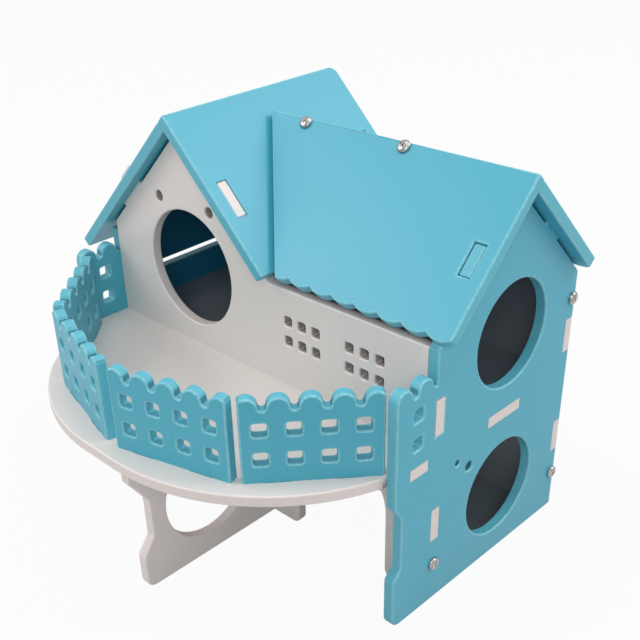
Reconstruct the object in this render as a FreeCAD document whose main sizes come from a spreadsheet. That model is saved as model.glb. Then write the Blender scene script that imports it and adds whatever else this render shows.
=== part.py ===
import FreeCAD, Part
import math
import os
import re

import Sketcher

# Two-storey board house for a hamster.  Every wall, floor, fence and roof slope is flat
# board of one thickness, held by tabs that pass through slots and by small pan-head screws.
#
# Millimetres.  The outlines are drawn in the house's own axes: X runs from the outside of
# the left wall to the right, Y runs back from the outside of the front wall and Z is up
# from the ground.  Each board is then moved so that the finished part's origin lies under
# the middle of its bounding box.  All four roof slopes fall at 45 degrees, because each
# ridge is a square butt joint, with one board lapping over the edge of the other.

SIZES = [
    ("board", 5, "thickness of every board"),
    ("house_width", 200, "outside of the left wall to outside of the right wall"),
    ("house_depth", 93, "front of the front walls to back of the back wall"),
    ("floor_level", 75, "top of the floor above the ground"),
    ("slot_gap", 0.2, "clearance on each side of a tab in its slot"),
    ("roof_gap", 1, "from a sloping wall edge to the underside of the roof"),
    ("upper_storey", 45.8, "floor to the top of the walls under the main eaves"),
    ("main_slope", 70, "main ridge to the cusps' low points, down the slope"),
    ("main_overhang", 6, "main roof past the right wall"),
    ("valley_gap", 0.3, "from the main roof's cut edge to the cross gable's roof"),
    ("scallop_lead", 1.6, "first scallop begins left of the valley's top"),
    ("scallop_depth", 1.9, "how far a scallop hangs below its cusps"),
    ("gable_lift", 7.2, "cross gable's ridge, along Y, above the main ridge, along X"),
    ("gable_centre", 57, "cross gable's ridge from the outside of the left wall"),
    ("gable_overhang", 6, "cross gable's roof past the front and back walls"),
    ("gable_slope_right", 80, "length of the right slope, which laps over the left"),
    ("gable_slope_left", 100, "length of the left slope"),
    ("main_tab", 13.4, "length of each roof tab on the right wall"),
    ("main_tab_centre", 37.6, "main ridge to the middle of those tabs"),
    ("tab_recess", 0.6, "roof tabs of the right wall below the roof's surface"),
    ("gable_tab", 17.4, "length of the right roof tabs of the front and back walls"),
    ("gable_tab_centre", 44.3, "cross ridge to the middle of the right tabs"),
    ("proud_tab", 19.4, "length of the left roof tabs of the front and back walls"),
    ("proud_tab_centre", 57.2, "cross ridge to the middle of the left tabs"),
    ("proud_tab_height", 4.6, "left roof tabs above the roof's surface"),
    ("proud_tab_shoulder", 9.6, "part of the left tab that stands at full height"),
    ("side_tab", 15.8, "height of the tabs that pass through the side walls"),
    ("upper_tab_rise", 16.5, "middle of the upper side tabs above the floor"),
    ("lower_tab_level", 40, "middle of the lower side tabs above the ground"),
    ("floor_tab", 21.8, "length of the floor's tab inside the house"),
    ("floor_tab_centre", 46.4, "front of the house to the middle of that tab"),
    ("balcony_tab", 10.6, "length of the floor's tab under the balcony"),
    ("balcony_tab_centre", 9.1, "front of the house forward to that tab's middle"),
    ("foot_reach", 23, "side wall's foot forward of the front wall"),
    ("foot_height", 24.6, "height of the straight front of that foot"),
    ("neck_reach", 18.5, "side wall's narrow part forward of the front wall"),
    ("neck_low", 28.8, "bottom of the narrow part"),
    ("neck_high", 54.3, "top of the narrow part"),
    ("shoulder_height", 60.8, "where the side wall is back at the fence's width"),
    ("foot_corner", 4.5, "radius of the bottom corners"),
    ("neck_corner", 3, "radius where the narrow part begins and ends"),
    ("side_hole", 46, "diameter of the right wall's round holes"),
    ("side_hole_y", 47.5, "front of the house to the middle of the round holes"),
    ("upper_hole_rise", 34, "middle of the upper round hole above the floor"),
    ("lower_hole_level", 34.5, "middle of the lower round hole above the ground"),
    ("bottle_hole", 4.5, "diameter of the larger small hole in the right wall"),
    ("bottle_hole_y", 23.9, "front of the house to that hole"),
    ("bottle_hole_level", 57.5, "height of that hole"),
    ("wire_hole", 3, "diameter of the smaller hole beside it"),
    ("wire_hole_y", 15.95, "front of the house to that hole"),
    ("wire_hole_level", 63, "height of that hole"),
    ("slit_length", 62, "length of the left wall's ventilation slit"),
    ("slit_height", 1.9, "height of the slit"),
    ("slit_centre", 43, "front of the house to the middle of the slit"),
    ("slit_rise", 17.35, "height of the slit above the floor"),
    ("front_hole", 54.4, "diameter of the round hole under the cross gable"),
    ("front_hole_x", 59.4, "left side of the house to the middle of that hole"),
    ("front_hole_rise", 37.5, "middle of that hole above the floor"),
    ("peep_hole", 5, "diameter of the two holes above it"),
    ("peep_hole_spread", 34, "distance between those two holes"),
    ("peep_hole_x", 58.1, "left side of the house to the middle of the pair"),
    ("peep_hole_drop", 40.3, "the pair below the cross gable's ridge"),
    ("lattice_pane", 4.5, "side of one pane of the lattice windows"),
    ("lattice_pitch_x", 7.95, "pane to pane across"),
    ("lattice_pitch_z", 9.2, "pane to pane up"),
    ("lattice_inset", 36.3, "right side of the house to the right lattice window's middle"),
    ("lattice_spread", 34.3, "distance between the two lattice windows"),
    ("lattice_sill", 21.9, "lower panes' middle above the floor"),
    ("door_width", 52, "width of the arched doorway"),
    ("door_inset", 50, "right side of the house to the doorway's middle"),
    ("door_spring", 33, "height at which the arch begins"),
    ("door_corner", 4, "radius at the foot of each jamb"),
    ("balcony_reach", 86.3, "balcony's front edge forward of the front wall"),
    ("balcony_flat", 19, "straight part in the middle of that edge"),
    ("balcony_side", 25, "balcony's edge forward of the front wall at the side walls"),
    ("fence_height", 36.8, "crest of the fence above the floor"),
    ("wave_depth", 5.5, "height of the fence's waves"),
    ("wave_valley", 1.5, "radius of a valley between two waves"),
    ("wave_end_share", 0.26, "last crest to the panel's end, in waves"),
    ("fence_return", 0.4, "flat between the last valley and the front wall's line"),
    ("fence_window", 5.7, "side of the fence's square windows"),
    ("fence_window_pitch", 12.85, "window to window, both ways"),
    ("fence_window_sill", 10.4, "lower windows' middle above the floor"),
    ("wall_window_reach", 10.3, "side walls' fence windows forward of the front wall"),
    ("front_panel_angle", 15.4, "turn of the two front fence panels"),
    ("side_panel_angle", 48.6, "turn of the two side fence panels"),
    ("front_panel_setback", 6.6, "front panels behind the balcony's edge, in the middle"),
    ("panel_middle_gap", 2.1, "front panel's inner corner from the centre line"),
    ("panel_corner_gap", 1.5, "between a front panel's end and a side panel"),
    ("panel_end_gap", 0.7, "between a side panel and the side wall"),
    ("panel_tab", 10, "length of the tabs under the fence panels"),
    ("panel_tab_spread", 27, "distance between a panel's two tabs"),
    ("leg_offset", 5, "balcony leg's middle to the right of the centre line"),
    ("leg_foot_reach", 76.6, "leg's foot forward of the front wall"),
    ("leg_foot_height", 17.5, "height of the foot's straight front"),
    ("leg_neck_reach", 70.7, "leg's narrow part forward of the front wall"),
    ("leg_neck_low", 25.4, "bottom of the narrow part"),
    ("leg_neck_high", 45, "top of the narrow part"),
    ("leg_head_reach", 79.5, "leg's head forward of the front wall"),
    ("leg_head", 12, "height of the straight front of the head"),
    ("leg_hole", 49.4, "diameter of the leg's round cut-out"),
    ("leg_hole_reach", 37.7, "cut-out's middle forward of the front wall"),
    ("leg_hole_margin", 10.1, "board left above the cut-out"),
    ("leg_tab", 16, "height of the leg's tab in the front wall"),
    ("leg_tab_level", 40, "middle of that tab above the ground"),
    ("screw_shank", 2.6, "diameter of a screw's shank"),
    ("screw_length", 16, "length of a screw under its head"),
    ("screw_head", 5.8, "diameter of a screw's head"),
    ("screw_head_height", 1.8, "height of a screw's head"),
    ("screw_gap", 0.1, "between a screw's shank and its hole"),
    ("low_screw_level", 19.5, "height of the lower screws in the side walls"),
    ("high_screw_drop", 11.8, "upper screws in the side walls below the main eaves"),
    ("left_screw_inset", 23.1, "first ridge screw from the roof's left end at the ridge"),
    ("right_screw_inset", 61, "second ridge screw from the roof's right end"),
]

SCALLOPS = 12
CRESTS = 5

# What follows from the sizes.  "lean" is the run, and the drop, of 1 mm down a roof slope.
RESULTS = [
    ("lean", "sqrt(2) / 2"),
    ("ridge_y", "house_depth / 2"),
    ("middle_x", "house_width / 2"),
    ("right_face", "house_width - board"),
    ("back_face", "house_depth - board"),
    ("under_floor", "floor_level - board"),
    ("roof_seat", "board + roof_gap"),
    ("main_top", "floor_level + upper_storey"),
    ("main_peak", "main_top + ridge_y"),
    ("main_ridge", "main_peak + roof_seat / lean"),
    ("gable_ridge", "main_ridge + gable_lift"),
    ("left_top", "gable_ridge - gable_centre - roof_seat / lean"),
    ("gable_peak", "gable_ridge - roof_seat / lean"),
    ("upper_tab_level", "floor_level + upper_tab_rise"),
    ("upper_hole_level", "floor_level + upper_hole_rise"),
    ("front_hole_level", "floor_level + front_hole_rise"),
    ("peep_hole_level", "gable_ridge - peep_hole_drop"),
    ("slit_level", "floor_level + slit_rise"),
    ("high_screw_level", "main_top - high_screw_drop"),
    ("roof_end", "house_width + main_overhang"),
    ("valley_start", "gable_centre + gable_lift + board * lean + valley_gap * 2 * lean"),
    ("ridge_screw_left", "valley_start + left_screw_inset"),
    ("ridge_screw_right", "roof_end - right_screw_inset"),
    ("cusp_line", "main_slope - scallop_depth"),
    ("scallop_pitch", f"(roof_end - valley_start + scallop_lead) / {SCALLOPS}"),
    ("scallop_radius", "(scallop_pitch ^ 2 / 4 + scallop_depth ^ 2) / (2 * scallop_depth)"),
    ("lattice_right_x", "house_width - lattice_inset"),
    ("lattice_left_x", "lattice_right_x - lattice_spread"),
    ("door_x", "house_width - door_inset"),
    ("half_inside", "house_width / 2 - board"),
    ("balcony_radius", "((half_inside - balcony_flat / 2) ^ 2 + (balcony_reach - balcony_side) ^ 2)"
                       " / (2 * (balcony_reach - balcony_side))"),
    ("front_cos", "cos(front_panel_angle)"),
    ("front_sin", "sin(front_panel_angle)"),
    ("side_cos", "cos(side_panel_angle)"),
    ("side_sin", "sin(side_panel_angle)"),
    ("panel_length", "(half_inside - panel_middle_gap - panel_end_gap - panel_corner_gap * side_cos"
                     " - board * side_sin) / (front_cos + side_cos)"),
    ("front_panel_x", "panel_middle_gap + board * front_sin"),
    ("front_panel_y", "front_panel_setback - balcony_reach"),
    ("side_panel_x", "panel_middle_gap + panel_length * front_cos + panel_corner_gap * side_cos"
                     " + board * side_sin"),
    ("side_panel_y", "front_panel_y + board * front_cos + panel_length * front_sin"
                     " + panel_corner_gap * side_sin - board * side_cos"),
    ("wave_pitch", f"panel_length / ({CRESTS - 1} + 2 * wave_end_share)"),
    ("wave_sum", "(wave_pitch ^ 2 / 4 + wave_depth ^ 2) / (2 * wave_depth)"),
    ("wave_crest", "wave_sum - wave_valley"),
    ("wave_side", "wave_crest * wave_pitch / (2 * wave_sum)"),
    ("wave_drop", "wave_crest * wave_depth / wave_sum"),
    ("wave_end_drop", "wave_crest - sqrt(wave_crest ^ 2 - (wave_end_share * wave_pitch) ^ 2)"),
    ("fence_front", "fence_return + wave_pitch * 3 / 2 + wave_crest"),
    ("screw_hole", "screw_shank / 2 + screw_gap"),
    ("leg_head_height", "under_floor - leg_head"),
    ("leg_hole_level", "under_floor - leg_hole_margin - leg_hole / 2"),
    ("left_end", "gable_centre - (board + gable_slope_left) * lean"),
    ("back_end", "max(house_depth + gable_overhang; ridge_y + main_slope * lean)"),
    ("shift_x", "-(left_end + roof_end) / 2"),
    ("shift_y", "(balcony_reach - back_end) / 2"),
]

# Sketch plane of a body: which of the body's axes the sketch's two axes follow.
PLANES = {"XY_Plane": "xy", "XZ_Plane": "xz", "YZ_Plane": "yz"}

doc = FreeCAD.newDocument("hamster_house")
sheets = {}


def full(text):
    """Name the sheet of every size in a formula."""
    return re.sub(r"[a-z_]+", lambda word: sheets.get(word.group(), word.group()), str(text))


def fill_sheets():
    """Write the sizes, then what follows from them."""
    sizes = doc.addObject("Spreadsheet::Sheet", "Sizes")
    for row, (name, value, note) in enumerate(SIZES, 1):
        sizes.set(f"A{row}", name)
        sizes.set(f"B{row}", str(value))
        sizes.setAlias(f"B{row}", name)
        sizes.set(f"C{row}", note)
        sheets[name] = f"Sizes.{name}"
    results = doc.addObject("Spreadsheet::Sheet", "Results")
    doc.recompute()
    for row, (name, formula) in enumerate(RESULTS, 1):
        results.set(f"A{row}", name)
        results.set(f"B{row}", "=" + full(formula).replace("Results.", ""))
        results.setAlias(f"B{row}", name)
        sheets[name] = f"Results.{name}"
    doc.recompute()
    return sizes


sizes_sheet = fill_sheets()


def value(formula):
    return float(sizes_sheet.evalExpression(full(formula)))


def add(*terms):
    return " + ".join(f"({term})" for term in terms)


# ---------------------------------------------------------------- sketches

def new_sketch(body, plane, name, offset=None):
    sketch = body.newObject("Sketcher::SketchObject", f"{body.Name}_{name}")
    origin_plane = [item for item in body.Origin.OriginFeatures if item.Role == plane][0]
    sketch.AttachmentSupport = [(origin_plane, "")]
    sketch.MapMode = "FlatFace"
    if offset:
        sketch.setExpression("AttachmentOffset.Base.z", full(offset))
    return sketch


def hold(sketch, constraints):
    """Add constraints, each with the formula that drives it or None."""
    first = sketch.ConstraintCount
    sketch.addConstraint([constraint for constraint, formula in constraints])
    for number, (constraint, formula) in enumerate(constraints, first):
        if formula is not None:
            sketch.setExpression(f"Constraints[{number}]", full(formula))


def hold_point(geometry, point, x, y):
    return [
        (Sketcher.Constraint("DistanceX", geometry, point, value(x)), x),
        (Sketcher.Constraint("DistanceY", geometry, point, value(y)), y),
    ]


def arc_through(start, end, radius, turn):
    """The short arc from start to end that bends left (turn 1) or right (turn -1)."""
    chord = end - start
    rise = math.sqrt(radius ** 2 - (chord.Length / 2) ** 2)
    left = FreeCAD.Vector(-chord.y, chord.x, 0).normalize()
    centre = (start + end) / 2 + left * rise * turn
    first, last = (start, end) if turn > 0 else (end, start)
    angles = [math.atan2(point.y - centre.y, point.x - centre.x) for point in (first, last)]
    circle = Part.Circle(centre, FreeCAD.Vector(0, 0, 1), radius)
    return Part.ArcOfCircle(circle, *angles)


def draw(sketch, corners):
    """Close a chain of edges through the corners.

    A corner is (x, y), and a straight edge leaves it, or (x, y, radius, turn), and an arc
    of that radius leaves it.
    """
    base = sketch.GeometryCount
    places = [FreeCAD.Vector(value(corner[0]), value(corner[1]), 0) for corner in corners]
    edges, ends, held = [], [], []
    for number, corner in enumerate(corners):
        start, end = places[number], places[(number + 1) % len(corners)]
        if len(corner) == 2:
            edges.append(Part.LineSegment(start, end))
            ends.append((1, 2))
        else:
            edges.append(arc_through(start, end, value(corner[2]), corner[3]))
            ends.append((1, 2) if corner[3] > 0 else (2, 1))
            held.append((Sketcher.Constraint("Radius", base + number, value(corner[2])), corner[2]))
    for number, corner in enumerate(corners):
        following = (number + 1) % len(corners)
        meet = Sketcher.Constraint("Coincident", base + number, ends[number][1],
                                   base + following, ends[following][0])
        held.append((meet, None))
        held += hold_point(base + number, ends[number][0], corner[0], corner[1])
    sketch.addGeometry(edges)
    hold(sketch, held)


def draw_circle(sketch, x, y, diameter):
    number = sketch.GeometryCount
    radius = value(f"({diameter}) / 2")
    centre = FreeCAD.Vector(value(x), value(y), 0)
    sketch.addGeometry(Part.Circle(centre, FreeCAD.Vector(0, 0, 1), radius))
    size = (Sketcher.Constraint("Radius", number, radius), f"({diameter}) / 2")
    hold(sketch, hold_point(number, 3, x, y) + [size])


def draw_box(sketch, x, y, width, height):
    """Draw an upright rectangle about the point (x, y)."""
    signs = ((-1, -1), (1, -1), (1, 1), (-1, 1))
    draw(sketch, [(f"{x} + ({along}) * ({width}) / 2", f"{y} + ({up}) * ({height}) / 2")
                  for along, up in signs])


# ---------------------------------------------------------------- solids

def add_feature(body, kind, name, sketch):
    feature = body.newObject(f"PartDesign::{kind}", f"{body.Name}_{name}")
    feature.Profile = sketch
    body.Tip = feature
    return feature


def new_board(name, plane, corners, reverse=False):
    """A body whose outline is padded by the board's thickness."""
    body = doc.addObject("PartDesign::Body", name)
    body.Label = name
    sketch = new_sketch(body, plane, "outline")
    draw(sketch, corners)
    pad = add_feature(body, "Pad", "sheet", sketch)
    pad.setExpression("Length", full("board"))
    pad.Reversed = reverse
    doc.recompute()
    return body


def cut(body, sketch, name, depth=None, reverse=False):
    """Cut a sketch out of the body, right through or to a depth, and see that it did."""
    before = body.Shape.Volume
    pocket = add_feature(body, "Pocket", name, sketch)
    if depth is None:
        pocket.Type = "ThroughAll"
        pocket.Midplane = True
    else:
        pocket.setExpression("Length", full(depth))
        pocket.Reversed = reverse
    doc.recompute()
    if not body.Shape.Volume < before - 0.1:
        raise RuntimeError(f"{pocket.Name} cuts nothing")


def round_corners(body, plane, places, radius, name):
    """Round the board's corners that stand over the given places of its drawing."""
    along, up = PLANES[plane]
    wanted = [(value(x), value(y)) for x, y in places]
    edges = []
    for number, edge in enumerate(body.Tip.Shape.Edges, 1):
        ends = [(getattr(vertex.Point, along), getattr(vertex.Point, up)) for vertex in edge.Vertexes]
        if len(ends) == 2 and math.dist(*ends) < 0.001 and any(math.dist(ends[0], place) < 0.01
                                                               for place in wanted):
            edges.append(f"Edge{number}")
    if len(edges) != len(wanted):
        raise RuntimeError(f"{body.Name} {name}: {len(edges)} of {len(wanted)} corners found")
    base = body.Tip
    fillet = body.newObject("PartDesign::Fillet", f"{body.Name}_{name}")
    fillet.Base = (base, edges)
    fillet.setExpression("Radius", full(radius))
    body.Tip = fillet
    doc.recompute()


def place(item, x, y, z, axis=(0, 0, 1), angle=0):
    """Stand an object at a point of the house's axes, turned about an axis."""
    item.Placement = FreeCAD.Placement(FreeCAD.Vector(), FreeCAD.Rotation(FreeCAD.Vector(*axis), 45))
    item.setExpression("Placement.Base.x", full(add("shift_x", x)))
    item.setExpression("Placement.Base.y", full(add("shift_y", y)))
    item.setExpression("Placement.Base.z", full(z))
    item.setExpression("Placement.Rotation.Angle", full(angle))


# ---------------------------------------------------------------- shared outlines

def main_slope_point(side, down, under):
    """(y, z) on the main roof: down its slope and under its surface; side -1 is the front."""
    return (f"ridge_y + ({side}) * lean * (({down}) - ({under}))",
            f"main_ridge - lean * (({down}) + ({under}))")


def gable_slope_point(side, down, under):
    """(x, z) on the cross gable's roof; side -1 is the left slope."""
    return (f"gable_centre + ({side}) * lean * (({down}) - ({under}))",
            f"gable_ridge - lean * (({down}) + ({under}))")


def slope_tab(point, side, centre, length, top, order):
    """Corners of a tab that stands square to a slope, in the order that the outline runs."""
    low, high = f"{centre} + {length} / 2", f"{centre} - {length} / 2"
    corners = [point(side, low, "roof_seat"), point(side, low, top),
               point(side, high, top), point(side, high, "roof_seat")]
    return corners[::order]


# ---------------------------------------------------------------- side walls

def side_wall(name, x, top):
    """A side wall with its foot, its end of the balcony fence and its joints."""
    crest = "(floor_level + fence_height)"
    first_crest = "wave_crest - fence_front"
    second_crest = "wave_crest - fence_front + wave_pitch"
    tangent = f"{crest} - wave_drop"
    valley = f"{crest} - wave_depth"
    notch = "side_tab / 2 + slot_gap"
    foot = [("-foot_reach", "0"), ("house_depth", "0")]
    back = []
    for level in ("lower_tab_level", "upper_tab_level"):
        back += [("house_depth", f"{level} - ({notch})"), ("back_face - slot_gap", f"{level} - ({notch})"),
                 ("back_face - slot_gap", f"{level} + ({notch})"), ("house_depth", f"{level} + ({notch})")]
    fence = [
        ("0", valley),
        ("-fence_return", valley, "wave_valley", -1),
        (f"{second_crest} + wave_side", tangent, "wave_crest", 1),
        (f"{second_crest} - wave_side", tangent, "wave_valley", -1),
        (f"{first_crest} + wave_side", tangent, "wave_crest", 1),
        ("-fence_front", f"{crest} - wave_crest"),
    ]
    neck = [("-fence_front", "shoulder_height"), ("-neck_reach", "neck_high"),
            ("-neck_reach", "neck_low"), ("-foot_reach", "foot_height")]
    body = new_board(name, "YZ_Plane", foot + back + top + fence + neck)

    slots = new_sketch(body, "YZ_Plane", "slot_plan")
    for level in ("lower_tab_level", "upper_tab_level"):
        draw_box(slots, "board / 2", level, "board + 2 * slot_gap", "side_tab + 2 * slot_gap")
    draw_box(slots, "floor_tab_centre", "floor_level - board / 2",
             "floor_tab + 2 * slot_gap", "board + 2 * slot_gap")
    draw_box(slots, "-balcony_tab_centre", "floor_level - board / 2",
             "balcony_tab + 2 * slot_gap", "board + 2 * slot_gap")
    cut(body, slots, "slots")

    windows = new_sketch(body, "YZ_Plane", "window_plan")
    for row in range(2):
        draw_box(windows, "-wall_window_reach",
                 f"floor_level + fence_window_sill + {row} * fence_window_pitch",
                 "fence_window", "fence_window")
    cut(body, windows, "windows")

    screws = new_sketch(body, "YZ_Plane", "screw_plan")
    for y, z in SIDE_SCREWS:
        draw_circle(screws, y, z, "2 * screw_hole")
    cut(body, screws, "screw_holes")
    round_corners(body, "YZ_Plane", [("-foot_reach", "0")], "foot_corner", "foot_corner")
    round_corners(body, "YZ_Plane", neck, "neck_corner", "neck_corners")
    place(body, x, "0", "0")
    return body


# Screws through each side wall, at the middle of the board that they enter.
SIDE_SCREWS = [
    ("board / 2", "low_screw_level"),
    ("house_depth - board / 2", "low_screw_level"),
    ("house_depth - board / 2", "high_screw_level"),
]

right_top = (
    [("house_depth", "main_top")]
    + slope_tab(main_slope_point, 1, "main_tab_centre", "main_tab", "tab_recess", 1)
    + [("ridge_y", "main_peak")]
    + slope_tab(main_slope_point, -1, "main_tab_centre", "main_tab", "tab_recess", -1)
    + [("0", "main_top")]
)
right_wall = side_wall("right_wall", "right_face", right_top)
holes = new_sketch(right_wall, "YZ_Plane", "hole_plan")
for level in ("lower_hole_level", "upper_hole_level"):
    draw_circle(holes, "side_hole_y", level, "side_hole")
draw_circle(holes, "bottle_hole_y", "bottle_hole_level", "bottle_hole")
draw_circle(holes, "wire_hole_y", "wire_hole_level", "wire_hole")
cut(right_wall, holes, "holes")

left_wall = side_wall("left_wall", "0", [("house_depth", "left_top"), ("0", "left_top")])
slit = new_sketch(left_wall, "YZ_Plane", "slit_plan")
draw_box(slit, "slit_centre", "slit_level", "slit_length", "slit_height")
cut(left_wall, slit, "slit")


# ---------------------------------------------------------------- front and back walls

def end_tabs(side, levels, order):
    """Tabs on one end of a cross wall, side 1 on the right, in the outline's order."""
    inner, outer = ("right_face", "house_width") if side > 0 else ("board", "0")
    corners = []
    for level in levels[::order]:
        low, high = f"{level} - side_tab / 2", f"{level} + side_tab / 2"
        tab = [(inner, low), (outer, low), (outer, high), (inner, high)]
        corners += tab[::order]
    return corners


# Top edge of the front and back walls, from the right to the left: flat under the main
# roof's eave, then up and down under the cross gable, with a tab through each slope.
# The left tab stands proud of the roof and steps down to its surface at the lower end.
proud_low = "proud_tab_centre + proud_tab / 2"
proud_high = "proud_tab_centre - proud_tab / 2"
proud_step = f"({proud_high}) + proud_tab_shoulder"
TOP_EDGE = (
    [("right_face", "main_top"), ("gable_centre + gable_peak - main_top", "main_top")]
    + slope_tab(gable_slope_point, 1, "gable_tab_centre", "gable_tab", "0", 1)
    + [("gable_centre", "gable_peak")]
    + [
        gable_slope_point(-1, proud_high, "roof_seat"),
        gable_slope_point(-1, proud_high, "-proud_tab_height"),
        gable_slope_point(-1, proud_step, "-proud_tab_height"),
        gable_slope_point(-1, proud_low, "0"),
        gable_slope_point(-1, proud_low, "roof_seat"),
    ]
    + [("board", "gable_peak - gable_centre + board")]
)


def screw_ends(body, y, level):
    """Blind holes for the side walls' screws in both ends of a cross wall."""
    for name, offset, reverse in (("right_screw", "house_width", False), ("left_screw", None, True)):
        plan = new_sketch(body, "YZ_Plane", f"{name}_{level}", offset)
        draw_circle(plan, y, level, "2 * screw_hole")
        cut(body, plan, f"{name}_hole_{level}", "screw_length", reverse)


front_wall_upper = new_board(
    "front_wall_upper", "XZ_Plane",
    [("board", "floor_level"), ("right_face", "floor_level")]
    + end_tabs(1, ["upper_tab_level"], 1) + TOP_EDGE + end_tabs(-1, ["upper_tab_level"], -1),
    reverse=True)
openings = new_sketch(front_wall_upper, "XZ_Plane", "hole_plan")
draw_circle(openings, "front_hole_x", "front_hole_level", "front_hole")
for side in (-1, 1):
    draw_circle(openings, f"peep_hole_x + ({side}) * peep_hole_spread / 2", "peep_hole_level",
                "peep_hole")
for middle in ("lattice_left_x", "lattice_right_x"):
    for column in (-1, 0, 1):
        for row in (0, 1):
            draw_box(openings, f"{middle} + ({column}) * lattice_pitch_x",
                     f"floor_level + lattice_sill + {row} * lattice_pitch_z",
                     "lattice_pane", "lattice_pane")
cut(front_wall_upper, openings, "holes")
place(front_wall_upper, "0", "0", "0")

front_wall_lower = new_board(
    "front_wall_lower", "XZ_Plane",
    [
        ("board", "0"),
        ("door_x - door_width / 2", "0"),
        ("door_x - door_width / 2", "door_spring", "door_width / 2", -1),
        ("door_x", "door_spring + door_width / 2", "door_width / 2", -1),
        ("door_x + door_width / 2", "door_spring"),
        ("door_x + door_width / 2", "0"),
        ("right_face", "0"),
    ]
    + end_tabs(1, ["lower_tab_level"], 1)
    + [("right_face", "under_floor"), ("board", "under_floor")]
    + end_tabs(-1, ["lower_tab_level"], -1),
    reverse=True)
round_corners(front_wall_lower, "XZ_Plane",
              [("door_x - door_width / 2", "0"), ("door_x + door_width / 2", "0")],
              "door_corner", "jamb_corners")
leg_slot = new_sketch(front_wall_lower, "XZ_Plane", "leg_slot_plan")
draw_box(leg_slot, "middle_x + leg_offset", "leg_tab_level",
         "board + 2 * slot_gap", "leg_tab + 2 * slot_gap")
cut(front_wall_lower, leg_slot, "leg_slot")
screw_ends(front_wall_lower, "board / 2", "low_screw_level")
place(front_wall_lower, "0", "0", "0")

back_wall = new_board(
    "back_wall", "XZ_Plane",
    [("board", "0"), ("right_face", "0")]
    + end_tabs(1, ["lower_tab_level", "upper_tab_level"], 1)
    + TOP_EDGE
    + end_tabs(-1, ["lower_tab_level", "upper_tab_level"], -1),
    reverse=True)
for level in ("low_screw_level", "high_screw_level"):
    screw_ends(back_wall, "board / 2", level)
place(back_wall, "0", "back_face", "0")


# ---------------------------------------------------------------- floor and balcony

# Fence panels: outer bottom corner at the left end, from the house's centre line and the
# front wall, the turn, and its cosine and sine.
FENCE = [
    ("fence_left_side", "-side_panel_x - panel_length * side_cos",
     "side_panel_y + panel_length * side_sin", "-side_panel_angle", "side_cos", "-side_sin"),
    ("fence_left_front", "-front_panel_x - panel_length * front_cos",
     "front_panel_y + panel_length * front_sin", "-front_panel_angle", "front_cos", "-front_sin"),
    ("fence_right_front", "front_panel_x", "front_panel_y", "front_panel_angle",
     "front_cos", "front_sin"),
    ("fence_right_side", "side_panel_x", "side_panel_y", "side_panel_angle",
     "side_cos", "side_sin"),
]


def panel_point(start_x, start_y, cosine, sine, along, inward):
    """(x, y) of a point along a fence panel and inward from its outer face."""
    return (f"middle_x + ({start_x}) + ({along}) * ({cosine}) - ({inward}) * ({sine})",
            f"({start_y}) + ({along}) * ({sine}) + ({inward}) * ({cosine})")


def floor_tabs(side, order):
    """The floor's tabs through one side wall, in the outline's order."""
    inner, outer = ("right_face", "house_width") if side > 0 else ("board", "0")
    corners = []
    for centre, length in (("-balcony_tab_centre", "balcony_tab"), ("floor_tab_centre", "floor_tab")):
        near, far = f"{centre} - {length} / 2", f"{centre} + {length} / 2"
        corners += [(inner, near), (outer, near), (outer, far), (inner, far)]
    return corners[::order]


floor_board = new_board(
    "floor_board", "XY_Plane",
    [
        ("board", "-balcony_side", "balcony_radius", 1),
        ("middle_x - balcony_flat / 2", "-balcony_reach"),
        ("middle_x + balcony_flat / 2", "-balcony_reach", "balcony_radius", 1),
        ("right_face", "-balcony_side"),
    ]
    + floor_tabs(1, 1)
    + [("right_face", "back_face"), ("board", "back_face")]
    + floor_tabs(-1, -1))
panel_slots = new_sketch(floor_board, "XY_Plane", "panel_slot_plan")
for name, start_x, start_y, angle, cosine, sine in FENCE:
    for side in (-1, 1):
        middle = f"panel_length / 2 + ({side}) * panel_tab_spread / 2"
        ends = [f"{middle} - panel_tab / 2 - slot_gap", f"{middle} + panel_tab / 2 + slot_gap"]
        faces = ["-slot_gap", "board + slot_gap"]
        draw(panel_slots, [panel_point(start_x, start_y, cosine, sine, along, inward)
                           for along, inward in ((ends[0], faces[0]), (ends[1], faces[0]),
                                                 (ends[1], faces[1]), (ends[0], faces[1]))])
cut(floor_board, panel_slots, "panel_slots")
place(floor_board, "0", "0", "under_floor")


def fence_panel(name, x, y, angle):
    """One panel with a waved top, two rows of windows and two tabs in the floor."""
    end = "wave_end_share * wave_pitch"
    tangent = "fence_height - wave_drop"
    outline = [("0", "0")]
    for side in (-1, 1):
        middle = f"panel_length / 2 + ({side}) * panel_tab_spread / 2"
        near, far = f"{middle} - panel_tab / 2", f"{middle} + panel_tab / 2"
        outline += [(near, "0"), (near, "-board"), (far, "-board"), (far, "0")]
    outline += [("panel_length", "0")]
    outline += [("panel_length", "fence_height - wave_end_drop", "wave_crest", 1)]
    for crest in range(CRESTS - 1, 0, -1):
        outline += [
            (f"{end} + {crest} * wave_pitch - wave_side", tangent, "wave_valley", -1),
            (f"{end} + {crest - 1} * wave_pitch + wave_side", tangent, "wave_crest", 1),
        ]
    outline += [("0", "fence_height - wave_end_drop")]
    body = new_board(name, "XZ_Plane", outline, reverse=True)
    windows = new_sketch(body, "XZ_Plane", "window_plan")
    for column in range(4):
        for row in range(2):
            draw_box(windows, f"panel_length / 2 + ({column} - 1.5) * fence_window_pitch",
                     f"fence_window_sill + {row} * fence_window_pitch",
                     "fence_window", "fence_window")
    cut(body, windows, "windows")
    place(body, add("middle_x", x), y, "floor_level", (0, 0, 1), angle)


for name, start_x, start_y, angle, cosine, sine in FENCE:
    fence_panel(name, start_x, start_y, angle)

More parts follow.
